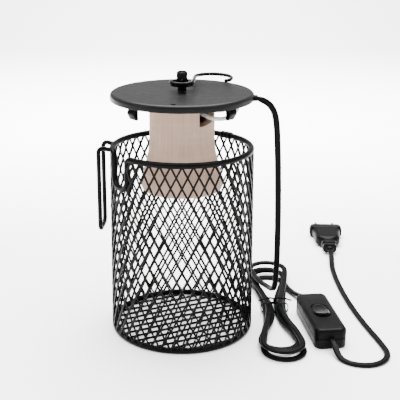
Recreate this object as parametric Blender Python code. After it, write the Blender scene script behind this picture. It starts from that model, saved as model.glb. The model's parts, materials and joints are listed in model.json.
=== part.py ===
"""Heat lamp fixture: wire guard cage, lift-out lid with ceramic E27 lampholder, hanging hook, mains cord.

All lengths below are in millimetres and MM turns them into Blender's metres. +Z is up, and the cage stands
on z = 0, centred on the origin. Angles round the cage are in degrees from the front (-Y), positive to +X.
"""

import math

import bmesh
import bpy
from mathutils import Vector

MM = 0.001

# ---------------------------------------------------------------- driving dimensions
CAGE_HEIGHT = 162.0
RIM_WIRE = 4.4  # diameter of the wire that edges the cage
WALL_FOOT_RADIUS = 60.4
WALL_TOP_RADIUS = 59.2
RIM_RADIUS = 57.8  # centre line of the rim wire
BASE_RING_RADIUS = 58.8
MESH_THICKNESS = 1.2
GAP = 0.3  # clearance between pieces that touch

WALL_COLUMNS = 14
WALL_ROWS = 5
WALL_STRAND = 1.3  # half width of a crossing, round the cage
EDGE_STRIP = 1.4
WALL_LOW = RIM_WIRE + GAP
WALL_HIGH = CAGE_HEIGHT - RIM_WIRE - 1.2  # leaves room for the rim's joint sleeve

NOTCH_ANGLE = -61.0
NOTCH_HALF_ANGLE = 12.0
NOTCH_BOTTOM = 133.0

LID_TOP = 207.0
LID_RADIUS = 59.0
LID_SHEET = 1.2
LID_SKIRT = 6.0
CORD_ANGLE = 82.0  # where the cord leaves the lid's skirt
CORD_EXIT_HEIGHT = 203.2
CLIP_ANGLES = (-47.5, 47.5, 119.0, -119.0)

ROD_RADIUS = 2.9
ROD_BORE = 3.2
HOOK_WIRE = 2.8
EYE_RADIUS = 8.8
EYE_HEIGHT = 214.4

SOCKET_TOP = LID_TOP - LID_SHEET - GAP
SOCKET_BOTTOM = 124.9
SHELL_OUTER = 14.1
SHELL_INNER = 13.2
SHELL_TOP = 170.0
SHELL_BOTTOM = 144.0

CORD_WIDTH = 5.3
HANK_CENTRE = (83.5, 18.0)
HANK_LENGTH = 188.0
HANK_WIDTH = 40.0
HANK_WAIST = 23.0
HANK_HEIGHT = 13.2

SWITCH_PLACE = (120.0, -14.0)
SWITCH_TURN = 6.0
SWITCH_SIZE = (27.0, 75.0)
SWITCH_SPLIT = 9.0
SWITCH_HEIGHT = 17.6
ROCKER_AXIS = 13.3

PLUG_PLACE = (158.0, 176.0)
PLUG_TURN = -4.0
PLUG_AXIS_HEIGHT = 6.85
PIN_SPACING = 18.6
RELIEF_LENGTH = 20.0


# ---------------------------------------------------------------- helpers
def material(name, colour, roughness, metallic=0.0):
    made = bpy.data.materials.new(name)
    made.use_nodes = True
    shader = made.node_tree.nodes["Principled BSDF"]
    shader.inputs["Base Color"].default_value = (*colour, 1.0)
    shader.inputs["Roughness"].default_value = roughness
    shader.inputs["Metallic"].default_value = metallic
    return made


def frame(name, place, turn=0.0):
    """An empty that the pieces of one assembly are parented to."""
    empty = bpy.data.objects.new(name, None)
    empty.location = Vector(place) * MM
    empty.rotation_euler = (0.0, 0.0, math.radians(turn))
    bpy.context.scene.collection.objects.link(empty)
    return empty


def piece(name, data, parent, finish, place=(0, 0, 0), turn=(0, 0, 0)):
    made = bpy.data.objects.new(name, data)
    made.parent = parent
    made.location = Vector(place) * MM
    made.rotation_euler = [math.radians(angle) for angle in turn]
    if finish is not None:
        data.materials.append(finish)
    bpy.context.scene.collection.objects.link(made)
    return made


def mesh_from(name, bm, sharp=35.0):
    """Turns a bmesh in millimetres into a mesh in metres, faces outwards and round faces smooth."""
    bmesh.ops.remove_doubles(bm, verts=bm.verts, dist=1e-4)
    bmesh.ops.recalc_face_normals(bm, faces=bm.faces)
    bmesh.ops.scale(bm, vec=(MM, MM, MM), verts=bm.verts)
    mesh = bpy.data.meshes.new(name)
    bm.to_mesh(mesh)
    bm.free()
    mesh.shade_smooth()
    mesh.set_sharp_from_angle(angle=math.radians(sharp))
    return mesh


def turned(name, profile, steps=32):
    """A profile of (radius, height) points turned about Z. It closes on itself unless it ends on the axis."""
    bm = bmesh.new()
    points = [bm.verts.new((radius, 0.0, height)) for radius, height in profile]
    on_axis = profile[0][0] == 0.0 and profile[-1][0] == 0.0
    ends = points[1:] if on_axis else points[1:] + points[:1]
    edges = [bm.edges.new(pair) for pair in zip(points, ends)]
    bmesh.ops.spin(
        bm,
        geom=points + edges,
        cent=(0, 0, 0),
        axis=(0, 0, 1),
        angle=2 * math.pi,
        steps=steps,
        use_merge=True,
    )
    return mesh_from(name, bm)


def rod(name, radius, low, high, steps=16, chamfer=0.0):
    """A solid round bar along Z. A chamfer breaks the edges of its two ends."""
    flank = [(radius, high), (radius, low)]
    if chamfer:
        flank = [(radius - chamfer, high), (radius, high - chamfer)]
        flank += [(radius, low + chamfer), (radius - chamfer, low)]
    return turned(name, [(0.0, high), *flank, (0.0, low)], steps)


def ring(name, outer, inner, low, high, steps=24):
    """A flat ring or a plain tube along Z."""
    return turned(name, [(outer, high), (outer, low), (inner, low), (inner, high)], steps)


def block(name, low, high, bevel=0.0):
    bm = bmesh.new()
    size = Vector(high) - Vector(low)
    bmesh.ops.create_cube(bm, size=1.0)
    bmesh.ops.scale(bm, vec=size, verts=bm.verts)
    bmesh.ops.translate(bm, vec=Vector(low) + size / 2, verts=bm.verts)
    if bevel:
        bmesh.ops.bevel(bm, geom=bm.edges[:], offset=bevel, segments=1, affect="EDGES")
    return mesh_from(name, bm)


def rounded_outline(width, length, corner, steps=4):
    """The points of a rectangle with round corners, anticlockwise, centred on the origin."""
    points = []
    for quarter, (sx, sy) in enumerate(((1, 1), (-1, 1), (-1, -1), (1, -1))):
        centre = Vector((sx * (width / 2 - corner), sy * (length / 2 - corner)))
        for step in range(steps + 1):
            angle = math.radians(90 * (quarter + step / steps))
            points.append(centre + corner * Vector((math.cos(angle), math.sin(angle))))
    return points


def extruded(name, outline, low, high):
    bm = bmesh.new()
    face = bm.faces.new([bm.verts.new((x, y, low)) for x, y in outline])
    grown = bmesh.ops.extrude_face_region(bm, geom=[face])["geom"]
    top = [item for item in grown if isinstance(item, bmesh.types.BMVert)]
    bmesh.ops.translate(bm, vec=(0, 0, high - low), verts=top)
    return mesh_from(name, bm)


def lofted(name, sections):
    """Joins closed loops of equally many 3-D points, and caps the first and the last."""
    bm = bmesh.new()
    loops = [[bm.verts.new(point) for point in section] for section in sections]
    for below, above in zip(loops, loops[1:]):
        for index in range(len(below)):
            after = (index + 1) % len(below)
            bm.faces.new((below[index], below[after], above[after], above[index]))
    bm.faces.new(loops[0][::-1])
    bm.faces.new(loops[-1])
    return mesh_from(name, bm)


def smooth_route(route, spacing):
    """Points about one spacing apart on the Catmull-Rom curve through a route."""
    knots = [Vector(point) for point in route]
    knots = [2 * knots[0] - knots[1]] + knots + [2 * knots[-1] - knots[-2]]
    fine = []
    for before, start, end, after in zip(knots, knots[1:], knots[2:], knots[3:]):
        for step in range(24):
            t = step / 24
            fine.append(
                0.5
                * (
                    2 * start
                    + (end - before) * t
                    + (2 * before - 5 * start + 4 * end - after) * t**2
                    + (3 * start - before - 3 * end + after) * t**3
                )
            )
    fine.append(knots[-2])
    run = [0.0]
    for start, end in zip(fine, fine[1:]):
        run.append(run[-1] + (end - start).length)
    count = max(2, round(run[-1] / spacing))
    points = []
    index = 0
    for step in range(count + 1):
        target = run[-1] * step / count
        while index < len(fine) - 2 and run[index + 1] < target:
            index += 1
        share = (target - run[index]) / max(run[index + 1] - run[index], 1e-9)
        points.append(fine[index].lerp(fine[index + 1], min(max(share, 0.0), 1.0)))
    return points


def filleted(corners, radii, steps=3):
    """A polyline in 2-D or 3-D with each inner corner replaced by an arc."""
    corners = [Vector(corner) for corner in corners]
    points = [corners[0]]
    for before, corner, after, radius in zip(corners, corners[1:], corners[2:], radii):
        back = (before - corner).normalized()
        on = (after - corner).normalized()
        half = back.angle(on) / 2
        centre = corner + (back + on).normalized() * radius / math.sin(half)
        start = (corner + back * radius / math.tan(half) - centre).normalized()
        end = (corner + on * radius / math.tan(half) - centre).normalized()
        for step in range(steps + 1):
            points.append(centre + start.slerp(end, step / steps) * radius)
    points.append(corners[-1])
    return points


def wire(name, points, diameter, cyclic=False, detail=2):
    """A round wire or tube as a bevelled curve. Its points are in millimetres."""
    curve = bpy.data.curves.new(name, "CURVE")
    curve.dimensions = "3D"
    curve.bevel_depth = diameter / 2 * MM
    curve.bevel_resolution = detail
    curve.use_fill_caps = True
    spline = curve.splines.new("POLY")
    spline.points.add(len(points) - 1)
    for target, point in zip(spline.points, points):
        target.co = (*(Vector(point) * MM), 1.0)
    spline.use_cyclic_u = cyclic
    spline.use_smooth = True
    return curve


def tool(name, data, parent, place=(0, 0, 0), turn=(0, 0, 0)):
    """A hidden wire guide that boolean() cuts or joins with."""
    guide = piece(name, data, parent, None, place, turn)
    guide.hide_render = True
    guide.display_type = "WIRE"
    return guide


def boolean(target, guide, operation):
    modifier = target.modifiers.new(f"{operation.lower()} {guide.name}", "BOOLEAN")
    modifier.operation = operation
    modifier.solver = "EXACT"
    modifier.object = guide


def around(radius, angle, height=0.0):
    """A point at an angle round the cage."""
    turn = math.radians(angle)
    return Vector((radius * math.sin(turn), -radius * math.cos(turn), height))


# ---------------------------------------------------------------- expanded mesh
def thicken(name, points, faces, place):
    """Makes a closed sheet of a flat pattern. place(u, v, side) puts a point on its front or its back."""
    bm = bmesh.new()
    front = [bm.verts.new(place(u, v, 1)) for u, v in points]
    back = [bm.verts.new(place(u, v, -1)) for u, v in points]
    used = {(a, b) for face in faces for a, b in zip(face, face[1:] + face[:1])}
    for face in faces:
        bm.faces.new([front[index] for index in face])
        bm.faces.new([back[index] for index in reversed(face)])
    for a, b in sorted(used):
        if (b, a) not in used:
            bm.faces.new((front[b], front[a], back[a], back[b]))
    return mesh_from(name, bm, sharp=50.0)


def diamond_pattern(columns, rows, cell, pad, strip=0.0, wrap=False):
    """Crossings and strands of a diamond mesh. With a strip, its top and bottom rows end in a plain edge."""
    points = []
    index_of = {}

    def index(column, row, key):
        if wrap:
            column %= 2 * columns
        if (column, row, key) not in index_of:
            du, dv = {
                "right": (pad[0], 0),
                "left": (-pad[0], 0),
                "top": (0, pad[1]),
                "bottom": (0, -pad[1]),
                "edge_right": (pad[0], strip if row else -strip),
                "edge_left": (-pad[0], strip if row else -strip),
            }[key]
            index_of[column, row, key] = len(points)
            points.append((column * cell[0] / 2 + du, row * cell[1] / 2 + dv))
        return index_of[column, row, key]

    faces = []
    last_column = 2 * columns
    last_row = 2 * rows
    for row in range(last_row + 1):
        for column in range(last_column + (not wrap)):
            if (column + row) % 2:
                continue
            ring_of = [index(column, row, key) for key in ("right", "top", "left", "bottom")]
            if strip and row in (0, last_row):
                edge = [index(column, row, key) for key in ("edge_right", "edge_left")]
                beyond = [index(column + 2, row, key) for key in ("left", "edge_left")]
                if row == 0:
                    ring_of = ring_of[:3] + [edge[1], edge[0]]
                    faces.append([edge[0], beyond[1], beyond[0], ring_of[0]])
                else:
                    faces.append([ring_of[0], beyond[0], beyond[1], edge[0]])
                    ring_of = [ring_of[3], ring_of[0], edge[0], edge[1], ring_of[2]]
            faces.append(ring_of)
            if row == last_row:
                continue
            if wrap or column < last_column:
                faces.append(
                    [
                        index(column, row, "right"),
                        index(column + 1, row + 1, "bottom"),
                        index(column + 1, row + 1, "left"),
                        index(column, row, "top"),
                    ]
                )
            if wrap or column > 0:
                faces.append(
                    [
                        index(column, row, "top"),
                        index(column - 1, row + 1, "right"),
                        index(column - 1, row + 1, "bottom"),
                        index(column, row, "left"),
                    ]
                )
    return points, faces


# ---------------------------------------------------------------- cage
def wall_radius(height):
    """The wall is a little wider at the foot than at the rim."""
    share = height / CAGE_HEIGHT
    return WALL_FOOT_RADIUS + (WALL_TOP_RADIUS - WALL_FOOT_RADIUS) * share


def make_wall_mesh(cage, black):
    low = WALL_LOW + EDGE_STRIP
    high = WALL_HIGH - EDGE_STRIP
    cell = (360.0 / WALL_COLUMNS, (high - low) / WALL_ROWS)
    pad = (WALL_STRAND, WALL_STRAND * 1.9)
    points, faces = diamond_pattern(WALL_COLUMNS, WALL_ROWS, cell, pad, EDGE_STRIP, wrap=True)

    def on_wall(angle, height, side):
        return around(wall_radius(height + low) + side * MESH_THICKNESS / 2, angle, height + low)

    data = thicken("wall_mesh", points, faces, on_wall)
    wall = piece("wall_mesh", data, cage, black)
    inner = NOTCH_HALF_ANGLE + math.degrees((RIM_WIRE / 2 + 0.45) / RIM_RADIUS)
    outer = inner + 2.0
    edge_top = NOTCH_BOTTOM - RIM_WIRE / 2 - GAP
    sides = [-outer, -inner, -inner / 3, inner / 3, inner, outer]
    points = [(turn, edge_top - 1.8) for turn in sides] + [(turn, edge_top) for turn in sides]
    points += [(turn, WALL_HIGH) for turn in (-outer, -inner, inner, outer)]
    faces = [[step, step + 1, step + 7, step + 6] for step in range(5)]
    faces += [[6, 7, 13, 12], [10, 11, 15, 14]]

    def on_frame(turn, height, side):
        radius = wall_radius(height) + side * (MESH_THICKNESS / 2 + 0.2)
        return around(radius, NOTCH_ANGLE + turn, height)

    frame_data = thicken("notch_edging", points, faces, on_frame)
    cut_half = WALL_TOP_RADIUS * math.sin(math.radians((inner + outer) / 2))
    cutter_data = block("notch_cutter", (-cut_half, -6, edge_top - 0.9), (cut_half, 6, CAGE_HEIGHT))
    place = around(RIM_RADIUS, NOTCH_ANGLE)
    cutter = tool("notch_cutter", cutter_data, cage, place, (0, 0, NOTCH_ANGLE))
    edging = tool("notch_edging", frame_data, cage)
    boolean(wall, cutter, "DIFFERENCE")
    boolean(wall, edging, "UNION")


def make_rim_wire(cage, black):
    """The rim wire follows the edge of the mouth and dips round the notch."""
    per_degree = RIM_RADIUS * math.radians(1)
    centre = CAGE_HEIGHT - RIM_WIRE / 2
    left = (NOTCH_ANGLE - NOTCH_HALF_ANGLE) * per_degree
    right = (NOTCH_ANGLE + NOTCH_HALF_ANGLE) * per_degree
    start = left - 10 * per_degree
    end = right + 10 * per_degree
    corners = [(start, centre), (left, centre), (left, NOTCH_BOTTOM)]
    corners += [(right, NOTCH_BOTTOM), (right, centre), (end, centre)]
    dip = filleted(corners, [4.5, 9.0, 9.0, 4.5])
    points = [around(RIM_RADIUS, run / per_degree, height) for run, height in dip]
    rest = 40
    first = end / per_degree
    whole = 360 - (end - start) / per_degree
    for step in range(1, rest):
        points.append(around(RIM_RADIUS, first + whole * step / rest, centre))
    piece("rim_wire", wire("rim_wire", points, RIM_WIRE, cyclic=True), cage, black)


def make_joint_sleeve(cage, black):
    """The crimped sleeve that joins the two ends of the rim wire."""
    outer, inner = RIM_WIRE / 2 + 0.9, RIM_WIRE / 2 + GAP
    bm = bmesh.new()
    sides = 10
    rings = []
    for angle in (131.0, 135.0, 139.0, 143.0):
        for radius in (outer, inner):
            loop = []
            for side in range(sides):
                turn = 2 * math.pi * side / sides
                from_axis = RIM_RADIUS + radius * math.cos(turn)
                height = CAGE_HEIGHT - RIM_WIRE / 2 + radius * math.sin(turn)
                loop.append(bm.verts.new(around(from_axis, angle, height)))
            rings.append(loop)
    walls = [(station, station + 2) for station in range(len(rings) - 2)]
    walls += [(0, 1), (len(rings) - 2, len(rings) - 1)]
    for first, second in walls:
        for side in range(sides):
            after = (side + 1) % sides
            corners = (rings[first][side], rings[first][after], rings[second][after], rings[second][side])
            bm.faces.new(corners)
    piece("rim_joint_sleeve", mesh_from("rim_joint_sleeve", bm), cage, black)


def make_base(cage, black):
    steps = 48
    centre = RIM_WIRE / 2
    points = [around(BASE_RING_RADIUS, 360 * step / steps, centre) for step in range(steps)]
    piece("base_ring", wire("base_ring", points, RIM_WIRE, cyclic=True), cage, black)
    columns, rows = 7, 5
    cell = (17.0, 24.0)
    points, faces = diamond_pattern(columns, rows, cell, (1.6, 2.2))
    half_width = columns * cell[0] / 2
    half_depth = rows * cell[1] / 2
    # An odd number of columns and rows puts a crossing on the middle of the base.

    def on_base(u, v, side):
        return (u - half_width, v - half_depth, MESH_THICKNESS * (side + 1) / 2)

    edge = BASE_RING_RADIUS - RIM_WIRE / 2 - GAP
    base = piece("base_mesh", thicken("base_mesh", points, faces, on_base), cage, black)
    disc = tool("base_trim", rod("base_trim", edge - 1.2, -5, 5, 48), cage)
    band = tool("base_band", ring("base_band", edge, edge - 2.4, 0.15, MESH_THICKNESS + 0.2, 48), cage)
    boolean(base, disc, "INTERSECT")
    boolean(base, band, "UNION")


def make_side_hook(cage, black):
    """A U of wire whose two ends are turned in and welded to the rim."""
    diameter = 3.2
    near, far = Vector((-69.1, -10.0, 0)), Vector((-67.4, 12.5, 0))
    near_end, far_end = around(60.8, -81.0), around(60.8, -100.5)
    top, bottom = CAGE_HEIGHT - diameter / 2, 90.2

    def up(point, height):
        return point + Vector((0, 0, height))

    corners = [up(near_end, top), up(near, top), up(near, bottom)]
    corners += [up(far, bottom), up(far, top), up(far_end, top)]
    points = filleted(corners, (3.6, 5.0, 5.0, 3.6), 4)
    piece("side_hook", wire("side_hook", points, diameter), cage, black)


# ---------------------------------------------------------------- lid and hanger
def make_lid(lid, black):
    low, under = -LID_SKIRT, -LID_SHEET
    profile = [(ROD_BORE + 0.2, 0), (55.8, 0), (57.6, -0.5), (58.7, -1.7), (LID_RADIUS, -3.2)]
    profile += [(LID_RADIUS, low), (LID_RADIUS - 1.2, low), (LID_RADIUS - 1.2, -3.4)]
    profile += [(57.2, -2.2), (55.6, under), (ROD_BORE + 0.2, under)]
    cover = piece("lid_disc", turned("lid_disc", profile, 48), lid, black)
    notch = block("cord_notch", (-4.1, -6, low - 2), (4.1, 6, -LID_SHEET - 0.3))
    place = around(LID_RADIUS - 1.0, CORD_ANGLE)
    boolean(cover, tool("cord_notch", notch, lid, place, (0, 0, CORD_ANGLE)), "DIFFERENCE")
    vent = tool("vent_drill", rod("vent_drill", 1.9, -6, 4, 12), lid, around(53.6, -7.2))
    boolean(cover, vent, "DIFFERENCE")


def make_hanger_post(lid, black, steel):
    """The threaded rod through the lid, with the stack that carries the hook."""
    stem = piece("threaded_rod", rod("threaded_rod", ROD_RADIUS, -10.0, 15.6, 16, 0.5), lid, steel)
    sleeve = ring("spacer_sleeve", 3.6, ROD_BORE, GAP, 4.6, 16)
    piece("spacer_sleeve", sleeve, lid, black)
    piece("hook_washer", ring("hook_washer", 9.4, ROD_BORE, 4.9, 5.9, 24), lid, black)
    nut_profile = [(4.15, 15.6), (4.15, 6.2), (ROD_BORE, 6.2), (ROD_BORE, 16.6), (3.5, 16.6)]
    nut = piece("sleeve_nut", turned("sleeve_nut", nut_profile, 20), lid, black)
    pin_height = EYE_HEIGHT + HOOK_WIRE / 2 + 1.35 - LID_TOP
    pin = rod("retaining_pin", 0.9, -8.6, 8.6, 10)
    piece("retaining_pin", pin, lid, steel, (0, 0, pin_height), (90, 0, 0))
    for target in (stem, nut):
        drill = rod(f"pin_drill_{target.name}", 1.2, -12, 12, 10)
        cutter = tool(drill.name, drill, lid, (0, 0, pin_height), (90, 0, 0))
        boolean(target, cutter, "DIFFERENCE")
    lock = extruded("lock_nut", hexagon(10.0), -6.4, -3.1)
    holder = piece("lock_nut", lock, lid, steel)
    bore = tool("lock_nut_bore", rod("lock_nut_bore", ROD_BORE, -12, 2, 16), lid)
    boolean(holder, bore, "DIFFERENCE")


def hexagon(across_flats):
    radius = across_flats / math.sqrt(3)
    turns = [math.radians(60 * corner) for corner in range(6)]
    return [(radius * math.cos(turn), radius * math.sin(turn)) for turn in turns]


def make_hanger_hook(lid, black):
    """The hook's eye lies round the post. Its shank runs back into a bend whose tip rests near the lid."""
    swivel = frame("hook_swivel_axis", (0, 0, EYE_HEIGHT))
    eye = []
    for step in range(17):
        turn = math.radians(60 + 300 * step / 16)
        eye.append(Vector((EYE_RADIUS * math.cos(turn), EYE_RADIUS * math.sin(turn), 0)))
    shank = [(8.8, 0, 0), (9.6, 8, -0.1), (10.3, 20, -0.8), (10.8, 34, -1.8), (13, 44.5, -2.3)]
    shank += [(18.5, 50.6, -2.4), (26, 52.4, -2.4), (34, 50, -2.4), (40, 44.5, -2.6)]
    shank += [(42.6, 39, -3.4), (40.6, 35, -4.6), (36.8, 35.6, -5.4)]
    points = eye[:-1] + smooth_route(shank, 4.0)
    piece("hanger_hook", wire("hanger_hook", points, HOOK_WIRE), swivel, black)


def make_clips(lid, black):
    """Four folded spring strips that snap under the rim wire when the lid is closed."""
    half = 4.0
    leg = [(49.8, -17.4), (49.8, -1.6), (55.6, -1.6), (55.6, -2.7), (50.9, -2.7), (50.9, -15.2)]
    fold = [(53.9, -10.9), (52.3, -6.6), (53.4, -6.2), (55.3, -10.8), (51.5, -16.4), (50.9, -17.4)]
    for number, angle in enumerate(CLIP_ANGLES, 1):
        bm = bmesh.new()
        corners = [bm.verts.new((-half, -radius, height)) for radius, height in leg + fold]
        face = bm.faces.new(corners)
        grown = bmesh.ops.extrude_face_region(bm, geom=[face])["geom"]
        moved = [item for item in grown if isinstance(item, bmesh.types.BMVert)]
        bmesh.ops.translate(bm, vec=(2 * half, 0, 0), verts=moved)
        name = f"snap_clip_{number}"
        piece(name, mesh_from(name, bm), lid, black, turn=(0, 0, angle))


# ---------------------------------------------------------------- lampholder
def make_socket(lid, ceramic, brass, steel):
    def z(height):
        return height - LID_TOP

    outside = [(26.2, SOCKET_TOP), (27.0, SOCKET_TOP - 0.8), (27.0, 166), (28.0, 157), (30.0, 149)]
    outside += [(32.4, 140), (33.5, 134), (33.8, 127), (33.0, SOCKET_BOTTOM)]
    mouth = [(30.2, SOCKET_BOTTOM), (29.6, 134), (27.2, 143.2)]
    bore = [(SHELL_OUTER + GAP, 143.2), (SHELL_OUTER + GAP, SHELL_TOP + GAP)]
    chamber = [(3.2, SHELL_TOP + GAP), (3.2, 181), (20.5, 181), (21.5, SOCKET_TOP)]
    profile = [(radius, z(height)) for radius, height in outside + mouth + bore + chamber]
    body = piece("socket_body", turned("socket_body", profile, 28), lid, ceramic)
    window = block("lead_window", (-10.5, -8, z(182.2)), (10.5, 8, z(SOCKET_TOP) + 5))
    cutter = tool("lead_window", window, lid, around(24.5, 54), (0, 0, 54))
    boolean(body, cutter, "DIFFERENCE")

    shell = [(SHELL_OUTER, z(SHELL_TOP)), (SHELL_OUTER, z(SHELL_BOTTOM)), (SHELL_INNER, z(SHELL_BOTTOM))]
    shell += [(SHELL_INNER, z(SHELL_TOP - 0.9)), (7.0, z(SHELL_TOP - 0.9)), (7.0, z(SHELL_TOP))]
    piece("screw_shell", turned("screw_shell", shell, 24), lid, brass)

    stud = [(0, z(183.6)), (2.8, z(183.6)), (2.8, z(181.3)), (1.6, z(181.3)), (1.6, z(166.6))]
    stud += [(5.2, z(166.6)), (5.2, z(165.4)), (3.0, z(164.4)), (0, z(164.4))]
    piece("centre_contact", turned("centre_contact", stud, 16), lid, brass)

    for number, side in enumerate((-1, 1), 1):
        name = f"terminal_{number}"
        terminal = block(name, (-3.6, -3.0, z(181.3)), (3.6, 3.0, z(188.5)), 0.4)
        place = (10.5 * side, 7.5, 0)
        holder = piece(name, terminal, lid, brass, place)
        drill = tool(f"{name}_drill", rod(f"{name}_drill", 1.75, z(183.4), z(196), 12), lid, place)
        boolean(holder, drill, "DIFFERENCE")
        head = [(0, z(191.2)), (2.5, z(191.2)), (2.5, z(189.0)), (1.45, z(189.0))]
        head += [(1.45, z(183.8)), (0, z(183.8))]
        piece(f"{name}_screw", turned(f"{name}_screw", head, 12), lid, steel, place)

    strap_data = block("socket_strap", (-6.0, -19.0, z(204.1)), (6.0, 19.0, z(205.3)))
    strap = piece("socket_strap", strap_data, lid, steel)
    bore = tool("strap_bore", rod("strap_bore", ROD_BORE, -12, 2, 16), lid)
    boolean(strap, bore, "DIFFERENCE")
    for number, side in enumerate((-1, 1), 1):
        place = (0, 15.4 * side, 0)
        name = f"strap_screw_{number}"
        screw = [(0, z(203.8)), (2.8, z(203.8)), (2.8, z(202.0)), (1.5, z(202.0))]
        screw += [(1.5, z(181.3)), (0, z(181.3))]
        piece(name, turned(name, screw, 12), lid, steel, place)


def make_leads(lid, sleeve, rubber):
    """Two sleeved leads from the terminals to the clamp, and the clamp and bushing that hold the cord."""
    first = [(12.5, 2.0, -15.0), (17, -8, -17.6), (26, -15.5, -19.4), (36, -17.4, -18.4)]
    first += [(43.6, -14.6, -13.0), (47.2, -9.4, -4.6)]
    second = [(-5.0, 3.5, -14.0), (6, -6, -12.6), (14, -12.5, -12.2), (25, -15.6, -12.4)]
    second += [(34, -14.0, -12.4), (41.8, -9.0, -8.2), (47.8, -4.6, -4.2)]
    for name, route in (("lead_live", first), ("lead_neutral", second)):
        piece(name, wire(name, smooth_route(route, 4.5), 3.4), lid, sleeve)
    place = around(52.6, CORD_ANGLE)
    saddle = block("cord_clamp", (-4.6, -3.4, -5.6), (4.6, 2.6, -1.6), 0.5)
    piece("cord_clamp", saddle, lid, rubber, place, (0, 0, CORD_ANGLE))
    bush = block("cord_bushing", (-3.7, -3.4, -5.9), (3.7, 1.2, -1.9), 0.5)
    place = around(LID_RADIUS - 0.6, CORD_ANGLE)
    piece("cord_bushing", bush, lid, rubber, place, (0, 0, CORD_ANGLE))


# ---------------------------------------------------------------- cord, switch and plug
def make_cord(rubber):
    centre_x, centre_y = HANK_CENTRE
    exit_point = around(63.0, CORD_ANGLE, CORD_EXIT_HEIGHT)
    drop = [exit_point, (68.9, -9.4, 200.9), (72.9, -9.2, 196.8), (75.4, -8.8, 191.4)]
    drop += [(76.9, -7.9, 183), (78.2, -6.4, 170), (79.8, -3.5, 148), (81.2, 0.0, 122)]
    drop += [(82.4, 3.5, 96), (83.1, 7.5, 70), (83.5, 12.5, 46), (83.5, 20.0, 27), (83.5, 31.0, 15.5)]
    piece("cord_drop", wire("cord_drop", smooth_route(drop, 8.0), CORD_WIDTH), None, rubber)

    outline = []
    ends = HANK_LENGTH / 2 - HANK_WIDTH / 2
    for side in (1, -1):
        for step in range(9):
            angle = math.radians(180 * step / 8 + (0 if side > 0 else 180))
            outline.append((math.cos(angle) * HANK_WIDTH / 2, math.sin(angle) * HANK_WIDTH / 2 + side * ends))
        outline += [(-side * HANK_WAIST / 2, side * 14.0), (-side * HANK_WAIST / 2, -side * 14.0)]
    place = (centre_x, centre_y, 0)
    hank = piece("cord_hank", extruded("cord_hank", outline, 0.0, HANK_HEIGHT), None, rubber, place)
    groove = block("tie_groove", (-HANK_WIDTH, -2.6, -1), (HANK_WIDTH, 2.6, 1.8))
    boolean(hank, tool("tie_groove", groove, None, place), "DIFFERENCE")

    half, top = HANK_WAIST / 2 + GAP, HANK_HEIGHT + GAP
    band_data = block("cord_tie", (-half - 1, -2, 0.4), (half + 1, 2, top + 1))
    band = piece("cord_tie", band_data, None, rubber, place)
    inside = block("tie_inside", (-half, -4, 1.4), (half, 4, top))
    boolean(band, tool("tie_inside", inside, None, place), "DIFFERENCE")

    to_switch = [(103.0, 62.0, 3.2), (106.5, 52.0, 3.4), (110.5, 43.0, 4.6)]
    to_switch += [beside_switch(SWITCH_SIZE[1] / 2 + 9), beside_switch(SWITCH_SIZE[1] / 2 + GAP)]
    piece("cord_to_switch", wire("cord_to_switch", smooth_route(to_switch, 8.0), CORD_WIDTH), None, rubber)

    start = beside_switch(-SWITCH_SIZE[1] / 2 - GAP)
    away = beside_switch(-SWITCH_SIZE[1] / 2 - 9) - Vector((0, 0, 1))
    to_plug = [start, away, (127.5, -70.3, 3.2), (134.2, -77.9, 2.8), (143.5, -81.5, 2.8)]
    to_plug += [(153.9, -80.5, 2.8), (162.5, -74.6, 2.8), (167.3, -65.8, 2.8), (168.0, -56.0, 2.8)]
    to_plug += [(165.0, -36, 2.8), (160.5, -12, 2.8), (156.4, 16, 2.8), (153.6, 44, 2.8)]
    to_plug += [(152.2, 72, 2.8), (152.0, 98, 2.8), (153.0, 121, 3.4)]
    plug_end = Vector((*PLUG_PLACE, PLUG_AXIS_HEIGHT))
    for behind in (RELIEF_LENGTH + 12.0, RELIEF_LENGTH + 2 * GAP):
        to_plug.append(plug_end + turned_by(PLUG_TURN, (0, -behind, 0)))
    piece("cord_to_plug", wire("cord_to_plug", smooth_route(to_plug, 9.0), CORD_WIDTH), None, rubber)


def turned_by(angle, vector):
    turn = math.radians(angle)
    x, y, z = vector
    return Vector((x * math.cos(turn) - y * math.sin(turn), x * math.sin(turn) + y * math.cos(turn), z))


def beside_switch(along):
    """A point on the long axis of the switch, at the height where its cords go in."""
    return Vector((*SWITCH_PLACE, SWITCH_SPLIT)) + turned_by(SWITCH_TURN, (0, along, 0))


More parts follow.
